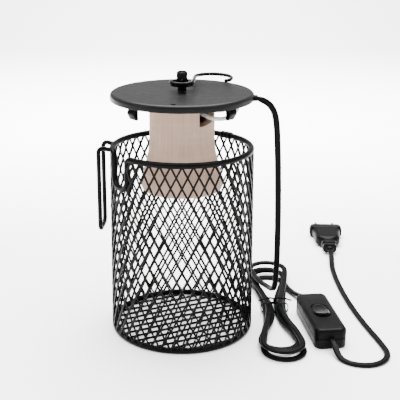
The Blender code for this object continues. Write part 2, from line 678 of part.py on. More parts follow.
def make_switch(plastic, rocker_plastic, brass, steel):
    width, length = SWITCH_SIZE
    base_frame = frame("switch_frame", (*SWITCH_PLACE, 0), SWITCH_TURN)
    outline = rounded_outline(width, length, 6.0)
    cavity = rounded_outline(width - 4.4, length - 5.0, 4.0)

    shell = extruded("switch_base", outline, 0.0, SWITCH_SPLIT - 0.15)
    lower = piece("switch_base", shell, base_frame, plastic)
    hollow = extruded("switch_base_hollow", cavity, 2.2, SWITCH_SPLIT + 4)
    boolean(lower, tool("switch_base_hollow", hollow, base_frame), "DIFFERENCE")

    shell = extruded("switch_cover", outline, SWITCH_SPLIT + 0.15, SWITCH_HEIGHT)
    upper = piece("switch_cover", shell, base_frame, plastic)
    hollow = extruded("switch_cover_hollow", cavity, SWITCH_SPLIT - 4, SWITCH_HEIGHT - 2.0)
    boolean(upper, tool("switch_cover_hollow", hollow, base_frame), "DIFFERENCE")
    window = block("rocker_window", (-7.3, -13.2, SWITCH_HEIGHT - 6), (7.3, 13.2, SWITCH_HEIGHT + 4))
    boolean(upper, tool("rocker_window", window, base_frame), "DIFFERENCE")

    carrier_data = block("switch_carrier", (-9.4, -10.0, 2.5), (9.4, 10.0, 15.2))
    carrier = piece("switch_carrier", carrier_data, base_frame, plastic)
    channel = block("carrier_channel", (-7.4, -14.0, 6.2), (7.4, 14.0, 18))
    boolean(carrier, tool("carrier_channel", channel, base_frame), "DIFFERENCE")
    drill = rod("carrier_drill", 1.2, -14, 14, 10)
    boolean(carrier, tool("carrier_drill", drill, base_frame, (0, 0, ROCKER_AXIS), (0, 90, 0)), "DIFFERENCE")

    axis_place = (0, 0, ROCKER_AXIS)
    piece("rocker_pin", rod("rocker_pin", 0.9, -9.2, 9.2, 10), base_frame, steel, axis_place, (0, 90, 0))

    side = [(-12.2, 3.4), (-12.2, 6.0), (-6.0, 5.0), (0.0, 4.6), (6.0, 5.0), (12.2, 6.0)]
    side += [(12.2, 3.4), (4.0, -2.6), (-4.0, -2.6)]
    bm = bmesh.new()
    face = bm.faces.new([bm.verts.new((-6.9, along, height)) for along, height in side])
    grown = bmesh.ops.extrude_face_region(bm, geom=[face])["geom"]
    moved = [item for item in grown if isinstance(item, bmesh.types.BMVert)]
    bmesh.ops.translate(bm, vec=(13.8, 0, 0), verts=moved)
    rocker = piece("switch_rocker", mesh_from("switch_rocker", bm), base_frame, rocker_plastic, axis_place)
    rocker.rotation_euler = (math.radians(-6.0), 0.0, 0.0)
    drill = rod("rocker_drill", 1.2, -14, 14, 10)
    boolean(rocker, tool("rocker_drill", drill, base_frame, axis_place, (0, 90, 0)), "DIFFERENCE")

    for number, along in enumerate((-1, 1), 1):
        name = f"switch_contact_{number}"
        strip = block(name, (-2.5, -5.0, 2.5), (2.5, 5.0, 4.0))
        piece(name, strip, base_frame, brass, (0, 19.0 * along, 0))


def plug_sections(stations):
    """Rounded rectangles across the plug's axis, from (place along it, width, height)."""
    sections = []
    for along, width, height in stations:
        outline = rounded_outline(width, height, height * 0.36, 3)
        sections.append([(x, along, y) for x, y in outline])
    return sections


def make_plug(plastic, sleeve, metal):
    plug = frame("plug_frame", (*PLUG_PLACE, PLUG_AXIS_HEIGHT), PLUG_TURN)
    body = [(0.0, 10.0, 9.0), (1.6, 13.0, 9.8), (6.0, 24.0, 12.0), (20.0, 28.0, 12.6), (33.4, 30.8, 13.0)]
    flange = [(34.4, 35.3, 13.7), (43.0, 35.3, 13.7)]
    piece("plug_body", lofted("plug_body", plug_sections(body + flange)), plug, plastic)
    neck = [(0.0, 7.0, 5.6), (4.0, 7.6, 6.4)]
    collars = [(4.2, 14.0, 9.2), (9.8, 14.4, 9.4), (10.0, 8.2, 7.0), (12.0, 8.2, 7.0)]
    collars += [(12.2, 15.2, 10.0), (18.0, 15.6, 10.2), (18.2, 8.8, 7.6), (RELIEF_LENGTH, 8.8, 7.6)]
    data = lofted("plug_strain_relief", plug_sections(neck + collars))
    piece("plug_strain_relief", data, plug, plastic, (0, -RELIEF_LENGTH - GAP, 0))
    for number, side in enumerate((-1, 1), 1):
        place = (side * PIN_SPACING / 2, 43.3, 0)
        body = [(0.0, 19.0), (1.3, 19.0), (2.0, 17.8), (2.0, 10.3), (1.4, 10.3), (1.4, 0.0), (0.0, 0.0)]
        piece(f"plug_pin_{number}", turned(f"plug_pin_{number}", body, 14), plug, metal, place, (-90, 0, 0))
        cover = ring(f"pin_sleeve_{number}", 2.0, 1.7, 0.0, 10.0, 14)
        piece(f"pin_sleeve_{number}", cover, plug, sleeve, place, (-90, 0, 0))


def main():
    for existing in list(bpy.data.objects):
        bpy.data.objects.remove(existing, do_unlink=True)
    black = material("black powder coat", (0.016, 0.016, 0.017), 0.42, 0.2)
    lid_black = material("satin black lid", (0.022, 0.022, 0.023), 0.3, 0.3)
    steel = material("zinc plated steel", (0.42, 0.42, 0.43), 0.35, 1.0)
    brass = material("brass", (0.62, 0.46, 0.2), 0.3, 1.0)
    ceramic = material("unglazed ceramic", (0.56, 0.45, 0.38), 0.85)
    white_sleeve = material("white fibreglass sleeve", (0.8, 0.8, 0.78), 0.8)
    rubber = material("black cord sheath", (0.018, 0.018, 0.019), 0.55)
    plastic = material("black moulded plastic", (0.02, 0.02, 0.021), 0.5)
    rocker_plastic = material("gloss black plastic", (0.012, 0.012, 0.013), 0.25)
    nickel = material("nickel plated brass", (0.66, 0.64, 0.6), 0.2, 1.0)

    cage = frame("cage_frame", (0, 0, 0))
    make_wall_mesh(cage, black)
    make_rim_wire(cage, black)
    make_joint_sleeve(cage, black)
    make_base(cage, black)
    make_side_hook(cage, black)

    lid = frame("lid_frame", (0, 0, LID_TOP))
    make_lid(lid, lid_black)
    make_hanger_post(lid, black, steel)
    make_hanger_hook(lid, black)
    make_clips(lid, black)
    make_socket(lid, ceramic, brass, steel)
    make_leads(lid, white_sleeve, rubber)

    make_cord(rubber)
    make_switch(plastic, rocker_plastic, brass, steel)
    make_plug(plastic, plastic, nickel)


main()
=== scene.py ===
"""Looks of the heat lamp fixture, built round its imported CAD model.

Lengths are in millimetres and MM turns them into metres. Angles round the cage are in degrees from the front (-Y),
positive towards +X.
"""

import json
import math

import bmesh
import bpy
from mathutils import Matrix, Vector


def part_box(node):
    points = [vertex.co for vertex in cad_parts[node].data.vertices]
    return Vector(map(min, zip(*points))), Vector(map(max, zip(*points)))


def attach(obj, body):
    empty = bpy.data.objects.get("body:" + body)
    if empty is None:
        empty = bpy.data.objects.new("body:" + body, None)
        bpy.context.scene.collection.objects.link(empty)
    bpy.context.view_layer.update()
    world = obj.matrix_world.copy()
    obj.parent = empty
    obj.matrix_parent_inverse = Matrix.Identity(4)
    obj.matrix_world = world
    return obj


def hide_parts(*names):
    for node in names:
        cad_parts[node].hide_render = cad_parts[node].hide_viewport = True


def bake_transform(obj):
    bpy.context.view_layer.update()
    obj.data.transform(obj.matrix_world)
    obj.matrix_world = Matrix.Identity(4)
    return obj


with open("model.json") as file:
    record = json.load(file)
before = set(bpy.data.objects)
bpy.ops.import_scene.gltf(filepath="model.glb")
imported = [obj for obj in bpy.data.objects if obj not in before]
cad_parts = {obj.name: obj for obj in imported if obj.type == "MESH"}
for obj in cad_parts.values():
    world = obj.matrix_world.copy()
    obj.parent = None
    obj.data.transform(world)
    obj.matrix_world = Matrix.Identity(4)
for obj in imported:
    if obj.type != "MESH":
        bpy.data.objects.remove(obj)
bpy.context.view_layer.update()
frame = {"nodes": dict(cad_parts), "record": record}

MM = 0.001

# ---------------------------------------------------------------- places that the CAD model settles
RIM_RADIUS = 57.8  # centre line of the rim wire
WALL_FOOT_RADIUS = 60.4
WALL_TOP_RADIUS = 59.2
RIM_WIRE = 4.4
CAGE_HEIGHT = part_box("rim_wire")[1].z / MM
BASE_RING_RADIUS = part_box("base_ring")[1].x / MM - RIM_WIRE / 2
NOTCH_ANGLE = -61.0
NOTCH_HALF_ANGLE = 12.0
NOTCH_BOTTOM = 133.0
LID_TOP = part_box("lid_disc")[1].z / MM
LID_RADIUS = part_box("lid_disc")[1].x / MM
LID_SHEET = 1.2
LID_SKIRT = 6.0
VENT_RADIUS = 2.2
CORD_ANGLE = 82.0
CLIP_ANGLES = (-47.5, 47.5, 119.0, -119.0)
EYE_RADIUS = 8.8
EYE_HEIGHT = 214.4
HOOK_WIRE = 2.8
SIDE_HOOK_WIRE = 3.2
COAT = 0.25  # what the powder coat adds to each side of a wire
HANK_X, HANK_Y = 83.5, 18.0
HANK_TOP = 14.5
CORD_WIDTH, CORD_THICKNESS = 5.3, 3.3
CORD_LAID = 1.7  # height of the cord's centre where it lies on the floor
SWITCH_PLACE = (120.0, -14.0)
SWITCH_TURN = 6.0
SWITCH_SIZE = (27.0, 75.0)
SWITCH_SPLIT = 9.0
SWITCH_HEIGHT = 17.6
ROCKER_AXIS = 13.3
PLUG_PLACE = (158.0, 176.0)
PLUG_TURN = -4.0
PLUG_AXIS_HEIGHT = 6.85
PIN_SPACING = 18.6
RELIEF_LENGTH = 20.0
LEAD_WIDTH = 3.4
LAMP_THREAD_PITCH = 3.62

# Expanded metal: the size of one diamond, and half the size of a crossing.
AROUND = 42  # diamonds round the wall
DIAMOND = (2 * math.pi * 59.6 / AROUND, 17.4)
FLOOR_DIAMOND = (9.5, 18.6)
FLOOR_CROSSING = (0.74, 1.56)
CROSSING = (0.82, 1.75)
SHEET = 1.2  # thickness of the expanded metal
TWIST = 0.4  # how far the strands lean out of the sheet
FLOOR_TURN = -36.5  # how far the floor's diamonds are turned from lying along Y


# ---------------------------------------------------------------- helpers
def around(radius, angle, height=0.0):
    turn = math.radians(angle)
    return Vector((radius * math.sin(turn), -radius * math.cos(turn), height))


def turned_by(angle, vector):
    return Matrix.Rotation(math.radians(angle), 3, "Z") @ Vector(vector)


def ease(share):
    share = min(max(share, 0.0), 1.0)
    return share * share * (3 - 2 * share)


def placed(spot, angle, axis="Z"):
    return Matrix.Translation(spot) @ Matrix.Rotation(math.radians(angle), 4, axis)


def show(name, mesh, slot, body, replaces=(), place=None, finish=None):
    """Makes a piece from a mesh in millimetres, riding on a CAD body. Its slot names its finish by default."""
    mesh.transform(Matrix.Scale(MM, 4) @ (place or Matrix.Identity(4)))
    mesh.materials.append(FINISHES[finish or slot])
    made = bpy.data.objects.new(name, mesh)
    bpy.context.scene.collection.objects.link(made)
    if body:
        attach(made, body)
    if replaces:
        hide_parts(*replaces)
    return made


def mesh_of(bm, name, sharp=35.0, merge=1e-4):
    bmesh.ops.remove_doubles(bm, verts=bm.verts, dist=merge)
    bmesh.ops.recalc_face_normals(bm, faces=bm.faces)
    mesh = bpy.data.meshes.new(name)
    bm.to_mesh(mesh)
    bm.free()
    mesh.shade_smooth()
    mesh.set_sharp_from_angle(angle=math.radians(sharp))
    return mesh


def skin(bm, loops, cyclic=False, caps=True, closed=True):
    """Joins loops of equally many points with quads."""
    rings = [[bm.verts.new(point) for point in loop] for loop in loops]
    pairs = list(zip(rings, rings[1:])) + ([(rings[-1], rings[0])] if cyclic else [])
    for one, two in pairs:
        for here in range(len(one) if closed else len(one) - 1):
            there = (here + 1) % len(one)
            bm.faces.new((one[here], one[there], two[there], two[here]))
    if caps and not cyclic:
        bm.faces.new(rings[0][::-1])
        bm.faces.new(rings[-1])
    return rings


def turned(name, profile, steps=96, sharp=35.0):
    """A profile of (radius, height) points turned about Z. It closes on itself unless it ends on the axis."""
    bm = bmesh.new()
    points = [bm.verts.new((radius, 0.0, height)) for radius, height in profile]
    on_axis = profile[0][0] == 0.0 and profile[-1][0] == 0.0
    ends = points[1:] if on_axis else points[1:] + points[:1]
    edges = [bm.edges.new(pair) for pair in zip(points, ends)]
    bmesh.ops.spin(
        bm, geom=points + edges, cent=(0, 0, 0), axis=(0, 0, 1), angle=2 * math.pi, steps=steps, use_merge=True
    )
    return mesh_of(bm, name, sharp)


def filleted(corners, radii, steps=6):
    """A polyline with each inner corner replaced by an arc."""
    corners = [Vector(corner) for corner in corners]
    points = [corners[0]]
    for before, corner, after, radius in zip(corners, corners[1:], corners[2:], radii):
        back = (before - corner).normalized()
        on = (after - corner).normalized()
        half = back.angle(on) / 2
        centre = corner + (back + on).normalized() * radius / math.sin(half)
        start = (corner + back * radius / math.tan(half) - centre).normalized()
        end = (corner + on * radius / math.tan(half) - centre).normalized()
        for step in range(steps + 1):
            points.append(centre + start.slerp(end, step / steps) * radius)
    points.append(corners[-1])
    return points


def softened(profile, radius, steps=3):
    """A closed outline of (radius, height) points with its corners rounded."""
    count = len(profile)
    points = []
    for index in range(count):
        before, corner, after = (Vector(profile[(index + shift) % count]) for shift in (-1, 0, 1))
        reach = min(radius, (before - corner).length * 0.45, (after - corner).length * 0.45)
        start = corner + (before - corner).normalized() * reach
        end = corner + (after - corner).normalized() * reach
        for step in range(steps + 1):
            share = step / steps
            points.append(start * (1 - share) ** 2 + corner * 2 * share * (1 - share) + end * share**2)
    return [tuple(point) for point in points]


def smooth_route(route, spacing):
    """Points about one spacing apart on the Catmull-Rom curve through a route."""
    knots = [Vector(point) for point in route]
    knots = [2 * knots[0] - knots[1]] + knots + [2 * knots[-1] - knots[-2]]
    fine = []
    for before, start, end, after in zip(knots, knots[1:], knots[2:], knots[3:]):
        for step in range(24):
            t = step / 24
            square = (2 * before - 5 * start + 4 * end - after) * t**2
            cube = (3 * start - before - 3 * end + after) * t**3
            fine.append(0.5 * (2 * start + (end - before) * t + square + cube))
    fine.append(knots[-2])
    return evenly(fine, spacing)


def evenly(fine, spacing):
    """The points of a line again, about one spacing apart."""
    run = [0.0]
    for start, end in zip(fine, fine[1:]):
        run.append(run[-1] + (end - start).length)
    count = max(2, round(run[-1] / spacing))
    points = []
    index = 0
    for step in range(count + 1):
        target = run[-1] * step / count
        while index < len(fine) - 2 and run[index + 1] < target:
            index += 1
        share = (target - run[index]) / max(run[index + 1] - run[index], 1e-9)
        points.append(fine[index].lerp(fine[index + 1], min(max(share, 0.0), 1.0)))
    return points


def relaxed(points, passes=10):
    """The line with its bends evened out. Its ends stay where they are."""
    for _ in range(passes):
        inner = [(before + 2 * point + after) / 4 for before, point, after in zip(points, points[1:], points[2:])]
        points = [points[0]] + inner + [points[-1]]
    return points


def length_of(points):
    return sum((end - start).length for start, end in zip(points, points[1:]))


def tangents(points, cyclic=False):
    found = []
    count = len(points)
    for index in range(count):
        before = points[index - 1] if cyclic or index else points[0]
        after = points[(index + 1) % count] if cyclic or index < count - 1 else points[-1]
        found.append((after - before).normalized())
    return found


def carried(points, first_normal):
    """A normal at each point, carried along the line without twisting."""
    ways = tangents(points)
    normal = (first_normal - ways[0] * first_normal.dot(ways[0])).normalized()
    normals = [normal]
    for before, way in zip(ways, ways[1:]):
        normal = before.rotation_difference(way) @ normal
        normals.append((normal - way * normal.dot(way)).normalized())
    return normals


def swept(name, points, section, normals, cyclic=False, sharp=40.0):
    """Sweeps a section of (across, up) points along a line. Up follows the normals. It can be a list of sections."""
    bm = bmesh.new()
    loops = []
    for index, (point, way, normal) in enumerate(zip(points, tangents(points, cyclic), normals)):
        side = way.cross(normal).normalized()
        here = section[index] if isinstance(section[0], list) else section
        loops.append([point + side * across + normal * up for across, up in here])
    skin(bm, loops, cyclic)
    return mesh_of(bm, name, sharp)


def circle(radius, sides):
    turns = [2 * math.pi * side / sides for side in range(sides)]
    return [(radius * math.cos(turn), radius * math.sin(turn)) for turn in turns]


def wire(name, points, diameter, cyclic=False, sides=16, tips=0.0):
    """A round wire. Tips rounds its two ends over that length."""
    sections = [circle(diameter / 2, sides) for _ in points]
    if cyclic:
        normals = carried(points, Vector((0, 0, 1)))
        gap = closing_twist(points, normals)
        for index, way in enumerate(tangents(points, True)):
            normals[index] = Matrix.Rotation(gap * index / len(points), 3, way) @ normals[index]
    else:
        first = tangents(points)[0]
        lean = Vector((0, 0, 1)) if abs(first.z) < 0.9 else Vector((0, 1, 0))
        normals = carried(points, lean)
    if tips:
        points, normals, sections = rounded_tips(points, normals, sections, diameter, sides, tips)
    return swept(name, points, sections, normals, cyclic)


def closing_twist(points, normals):
    """How much a carried normal has turned by the time it comes round to the start again."""
    way = tangents(points, True)[0]
    last = tangents(points, True)[-1].rotation_difference(way) @ normals[-1]
    return math.atan2(last.cross(normals[0]).dot(way), last.dot(normals[0]))


def rounded_tips(points, normals, sections, diameter, sides, depth):
    ways = tangents(points)
    for end, sign in ((0, -1), (-1, 1)):
        base, way, normal = points[end], ways[end] * sign, normals[end]
        for share in (0.5, 0.8, 0.97, 1.0):
            ball = base + way * depth * share
            small = circle(diameter / 2 * math.sqrt(max(1 - share**2, 0.0004)), sides)
            if end == 0:
                points, normals, sections = [ball] + points, [normal] + normals, [small] + sections
            else:
                points, normals, sections = points + [ball], normals + [normal], sections + [small]
    return points, normals, sections


def cut(target, cutter_mesh, place=None):
    """Cuts a mesh in millimetres out of a piece that is already in metres."""
    cutter_mesh.transform(Matrix.Scale(MM, 4) @ (place or Matrix.Identity(4)))
    cutter = bpy.data.objects.new("cutter", cutter_mesh)
    bpy.context.scene.collection.objects.link(cutter)
    modifier = target.modifiers.new("cut", "BOOLEAN")
    modifier.object = cutter
    modifier.solver = "EXACT"
    bake(target)
    bpy.data.objects.remove(cutter)


def bake(target):
    """Applies the modifiers of a piece."""
    bpy.context.view_layer.update()
    graph = bpy.context.evaluated_depsgraph_get()
    mesh = bpy.data.meshes.new_from_object(target.evaluated_get(graph))
    target.modifiers.clear()
    mesh.set_sharp_from_angle(angle=math.radians(35.0))
    target.data = mesh


def bevel(target, width, segments=2, angle=40.0):
    modifier = target.modifiers.new("rounded edges", "BEVEL")
    modifier.width = width * MM
    modifier.segments = segments
    modifier.limit_method = "ANGLE"
    modifier.angle_limit = math.radians(angle)
    modifier.harden_normals = True
    return target


def box_mesh(name, low, high):
    bm = bmesh.new()
    size = Vector(high) - Vector(low)
    bmesh.ops.create_cube(bm, size=1.0)
    bmesh.ops.scale(bm, vec=size, verts=bm.verts)
    bmesh.ops.translate(bm, vec=Vector(low) + size / 2, verts=bm.verts)
    return mesh_of(bm, name)


def rounded_outline(width, length, corner, steps=8):
    """The points of a rectangle with round corners, anticlockwise, centred on the origin."""
    points = []
    for quarter, (sx, sy) in enumerate(((1, 1), (-1, 1), (-1, -1), (1, -1))):
        centre = Vector((sx * (width / 2 - corner), sy * (length / 2 - corner)))
        for step in range(steps + 1):
            angle = math.radians(90 * (quarter + step / steps))
            points.append(centre + corner * Vector((math.cos(angle), math.sin(angle))))
    return points


def stacked(name, levels, sharp=35.0):
    """A solid of outlines at heights: (outline, height) pairs whose outlines have equally many points."""
    bm = bmesh.new()
    skin(bm, [[(x, y, height) for x, y in outline] for outline, height in levels])
    return mesh_of(bm, name, sharp)


# ---------------------------------------------------------------- materials
class Nodes:
    """Builds a material's node tree, one call for each node."""

    def __init__(self, name):
        self.material = bpy.data.materials.new(name)
        self.material.use_nodes = True
        self.tree = self.material.node_tree
        self.shader = self.tree.nodes["Principled BSDF"]
        self.place = self.add("ShaderNodeTexCoord").outputs["Object"]

    def add(self, kind, **values):
        node = self.tree.nodes.new(kind)
        for name, value in values.items():
            if name in node.inputs:
                node.inputs[name].default_value = value
            else:
                setattr(node, name, value)
        return node

    def link(self, source, target):
        self.tree.links.new(source, target)

    def stretched(self, scale):
        node = self.add("ShaderNodeMapping")
        node.inputs["Scale"].default_value = scale
        self.link(self.place, node.inputs["Vector"])
        return node.outputs["Vector"]

    def noise(self, scale, detail=4.0, roughness=0.55, stretch=(1, 1, 1)):
        node = self.add("ShaderNodeTexNoise", Scale=scale, Detail=detail, Roughness=roughness)
        self.link(self.stretched(stretch), node.inputs["Vector"])
        return node.outputs["Fac"]

    def spots(self, scale):
        node = self.add("ShaderNodeTexVoronoi", Scale=scale)
        self.link(self.stretched((1, 1, 1)), node.inputs["Vector"])
        return node.outputs["Distance"]

    def spread(self, value, low, high, start=0.0, stop=1.0):
        node = self.add("ShaderNodeMapRange")
        self.link(value, node.inputs["Value"])
        for name, number in zip(("From Min", "From Max", "To Min", "To Max"), (start, stop, low, high)):
            node.inputs[name].default_value = number
        return node.outputs["Result"]

    def between(self, share, low, high):
        """Mixes two colours, or two sockets."""
        node = self.add("ShaderNodeMix", data_type="RGBA")
        self.link(share, node.inputs["Factor"])
        for socket, value in ((node.inputs[6], low), (node.inputs[7], high)):
            if isinstance(value, tuple):
                socket.default_value = (*value, 1.0)
            else:
                self.link(value, socket)
        return node.outputs[2]

    def bump(self, height, strength, distance, under=None):
        node = self.add("ShaderNodeBump", Strength=strength, Distance=distance * MM)
        self.link(height, node.inputs["Height"])
        if under:
            self.link(under, node.inputs["Normal"])
        return node.outputs["Normal"]

    def finish(self, colour=None, roughness=None, normal=None, **constants):
        for socket, value in (("Base Color", colour), ("Roughness", roughness), ("Normal", normal)):
            if value is None:
                continue
            if isinstance(value, (tuple, float)):
                self.shader.inputs[socket].default_value = (*value, 1.0) if socket == "Base Color" else value
            else:
                self.link(value, self.shader.inputs[socket])
        for name, value in constants.items():
            self.shader.inputs[name.replace("_", " ")].default_value = value
        return self.material


def shade(colour, factor):
    return tuple(channel * factor for channel in colour)


def coated(name, colour, roughness, orange_peel, dust, shine):
    """Powder coat: fine orange peel, a slow change of tone, and a trace of pale dust."""
    nodes = Nodes(name)
    tone = nodes.noise(35.0, 3.0)
    base = nodes.between(nodes.spread(tone, 0, 1, 0.35, 0.65), shade(colour, 0.8), shade(colour, 1.25))
    specks = nodes.spread(nodes.noise(2600.0, 2.0), 0.0, dust, 0.66, 0.84)
    base = nodes.between(specks, base, (0.35, 0.34, 0.33))
    rough = nodes.spread(nodes.noise(160.0, 4.0), roughness - 0.04, roughness + 0.05, 0.3, 0.7)
    peel = nodes.bump(nodes.noise(900.0, 2.0), orange_peel, 0.05)
    return nodes.finish(base, rough, peel, Specular_IOR_Level=shine)


def plated(name, colour, roughness):
    """Bare or plated metal with fine drawing marks and a little staining."""
    nodes = Nodes(name)
    marks = nodes.noise(1500.0, 3.0, stretch=(12, 1, 1))
    stain = nodes.noise(120.0, 4.0)
    base = nodes.between(nodes.spread(stain, 0, 1, 0.35, 0.7), shade(colour, 0.72), colour)
    rough = nodes.spread(marks, roughness - 0.08, roughness + 0.12, 0.3, 0.7)
    return nodes.finish(base, rough, nodes.bump(marks, 0.2, 0.05), Metallic=1.0)


def moulded(name, colour, roughness, grain, size=2200.0):
    """Moulded plastic with a spark-eroded grain."""
    nodes = Nodes(name)
    base = nodes.between(nodes.noise(60.0, 3.0), shade(colour, 0.85), shade(colour, 1.2))
    pits = nodes.spots(size)
    rough = nodes.spread(nodes.noise(300.0, 4.0), roughness - 0.05, roughness + 0.07, 0.3, 0.7)
    normal = nodes.bump(pits, grain, 0.06)
    return nodes.finish(base, rough, normal, Specular_IOR_Level=0.05)


def cord_sheath():
    """Flexible PVC: satin, with faint waviness along its length and fine scuffs."""
    nodes = Nodes("cord_sheath")
    tone = nodes.noise(45.0, 4.0)
    base = nodes.between(nodes.spread(tone, 0, 1, 0.3, 0.7), (0.001, 0.001, 0.0011), (0.002, 0.002, 0.0021))
    scuffs = nodes.spread(nodes.noise(700.0, 6.0, 0.7), 0.0, 0.03, 0.6, 0.8)
    base = nodes.between(scuffs, base, (0.12, 0.12, 0.12))
    rough = nodes.spread(nodes.noise(220.0, 4.0), 0.34, 0.52, 0.3, 0.7)
    normal = nodes.bump(nodes.noise(380.0, 3.0), 0.2, 0.08)
    return nodes.finish(base, rough, normal, Specular_IOR_Level=0.04)


def ceramic():
    """Unglazed beige stoneware: fine streaks down the wall, faint turning rings, specks, and a pink cast."""
    nodes = Nodes("ceramic")
    streaks = nodes.noise(420.0, 3.0, stretch=(1, 1, 0.06))
    rings = nodes.noise(520.0, 2.0, stretch=(0.05, 0.05, 1))
    clouds = nodes.noise(28.0, 4.0)
    base = nodes.between(nodes.spread(clouds, 0, 1, 0.3, 0.7), (0.43, 0.285, 0.205), (0.49, 0.335, 0.255))
    base = nodes.between(nodes.spread(streaks, 0.0, 0.45, 0.45, 0.75), base, (0.33, 0.215, 0.155))
    base = nodes.between(nodes.spread(rings, 0.0, 0.4, 0.5, 0.8), base, (0.58, 0.42, 0.335))
    specks = nodes.spread(nodes.noise(1500.0, 1.0), 0.0, 0.8, 0.72, 0.8)
    base = nodes.between(specks, base, (0.22, 0.15, 0.11))
    rough = nodes.spread(streaks, 0.72, 0.92)
    normal = nodes.bump(streaks, 0.35, 0.12, nodes.bump(rings, 0.25, 0.08))
    return nodes.finish(base, rough, normal)


def glass_sleeve():
    """White woven glass fibre: a fine diagonal braid."""
    nodes = Nodes("glass_sleeve")
    braid = nodes.add("ShaderNodeTexWave", Scale=520.0, Distortion=0.6, bands_direction="DIAGONAL")
    nodes.link(nodes.place, braid.inputs["Vector"])
    crossing = nodes.add("ShaderNodeTexWave", Scale=430.0, Distortion=0.8, bands_direction="Z")
    nodes.link(nodes.place, crossing.inputs["Vector"])
    base = nodes.between(braid.outputs["Fac"], (0.62, 0.62, 0.60), (0.86, 0.86, 0.84))
    normal = nodes.bump(braid.outputs["Fac"], 0.5, 0.15, nodes.bump(crossing.outputs["Fac"], 0.3, 0.1))
    return nodes.finish(base, 0.75, normal, Sheen_Weight=0.3)


FINISHES = {
    "cage_black": coated("cage_black", (0.0012, 0.0012, 0.0013), 0.34, 0.12, 0.005, 0.05),
    "lid_black": coated("lid_black", (0.0042, 0.0038, 0.0039), 0.36, 0.05, 0.003, 0.09),
    "hanger_black": coated("hanger_black", (0.0016, 0.0016, 0.0017), 0.26, 0.1, 0.004, 0.07),
    "plated_steel": plated("plated_steel", (0.56, 0.56, 0.57), 0.34),
    "brass": plated("brass_bright", (0.68, 0.5, 0.22), 0.3),
    "socket_ceramic": ceramic(),
    "lead_sleeve": glass_sleeve(),
    "cord_black": cord_sheath(),
    "moulded_black": moulded("moulded_black", (0.0014, 0.0014, 0.0015), 0.38, 0.2),
    "rocker_black": moulded("rocker_black", (0.0014, 0.0014, 0.0015), 0.26, 0.04, 3000.0),
    "pin_metal": plated("nickel", (0.74, 0.71, 0.66), 0.2),
}


# ---------------------------------------------------------------- stage
def make_stage():
    """A pale sweep, a large light overhead, one on the backdrop, two at the sides, and the camera."""
    scene = bpy.context.scene
    bm = bmesh.new()
    depth = [(-7000, 0), (1600, 0)]
    for step in range(1, 9):
        turn = math.radians(5 * step)
        depth.append((1600 + 900 * math.sin(turn), 900 - 900 * math.cos(turn)))
    skin(bm, [[(x, y, z - 0.05) for y, z in depth] for x in (-7000, 7000)], caps=False, closed=False)
    bmesh.ops.scale(bm, vec=(MM, MM, MM), verts=bm.verts)
    floor_mesh = mesh_of(bm, "floor", 180.0)
    nodes = Nodes("sweep")
    tone = nodes.between(nodes.noise(3.0, 2.0), (0.93, 0.93, 0.93), (0.95, 0.95, 0.95))
    floor_mesh.materials.append(nodes.finish(tone, 0.8))
    floor = bpy.data.objects.new("floor", floor_mesh)
    scene.collection.objects.link(floor)

    world = bpy.data.worlds.new("studio")
    world.use_nodes = True
    world.node_tree.nodes["Background"].inputs["Color"].default_value = (1.0, 1.0, 1.0, 1.0)
    world.node_tree.nodes["Background"].inputs["Strength"].default_value = 0.75
    scene.world = world
    for name, place, target, size, power in (
        ("overhead", (0.0, 0.35, 1.5), (0.05, 0.1, 0.1), 1.5, 170.0),
        ("backdrop", (0.0, 0.8, 0.95), (0.0, 2.4, -0.2), 1.2, 110.0),
        ("left", (-1.3, -0.7, 0.8), (0.0, 0, 0.12), 0.7, 9.0),
        ("right", (1.2, -0.9, 1.0), (0.05, 0, 0.1), 0.7, 9.0),
    ):
        data = bpy.data.lights.new(name, "AREA")
        data.shape = "SQUARE"
        data.size = size
        data.energy = power
        lamp = bpy.data.objects.new(name, data)
        lamp.location = place
        lamp.rotation_euler = (Vector(target) - Vector(place)).to_track_quat("-Z", "Y").to_euler()
        scene.collection.objects.link(lamp)

    data = bpy.data.cameras.new("camera")
    data.lens = 78.0
    data.sensor_width = 36.0
    data.shift_x = 0.045
    data.shift_y = -0.0515
    data.clip_start = 0.02
    camera = bpy.data.objects.new("camera", data)
    camera.location = (0.0, -0.699, 0.343)
    camera.rotation_euler = (math.radians(90.0 - 16.82), 0.0, 0.0)
    scene.collection.objects.link(camera)
    scene.camera = camera


# ---------------------------------------------------------------- expanded metal
def diamonds(columns, rows, cell, crossing, low=0.0):
    """Crossings and strands of expanded metal in the (x, y) plane, reaching one crossing past its edges."""
    bm = bmesh.new()
    made = {}

    def corner(column, row, across, up):
        key = (column, row, across, up)
        if key not in made:
            x = column * cell[0] / 2 + across * crossing[0]
            made[key] = bm.verts.new((x, low + row * cell[1] / 2 + up * crossing[1], 0.0))
        return made[key]

    for row in range(-1, 2 * rows + 2):
        for column in range(-1, 2 * columns + 2):
            if (column + row) % 2:
                continue
            right, top = corner(column, row, 1, 0), corner(column, row, 0, 1)
            left, bottom = corner(column, row, -1, 0), corner(column, row, 0, -1)
            bm.faces.new((right, top, left, bottom))
            for way in (1, -1):
                near = corner(column + way, row + 1, 0, -1)
                far = corner(column + way, row + 1, -way, 0)
                edge = right if way > 0 else left
                strand = (edge, near, far, top)
                bm.faces.new(strand if way > 0 else strand[::-1])
    return bm


def trim(bm, point, outward, keep=False):
    """Cuts a flat mesh along a line. It drops what is beyond the line, unless it is told to keep it."""
    everything = bm.verts[:] + bm.edges[:] + bm.faces[:]
    bmesh.ops.bisect_plane(bm, geom=everything, dist=1e-5, plane_co=point, plane_no=outward, clear_outer=not keep)


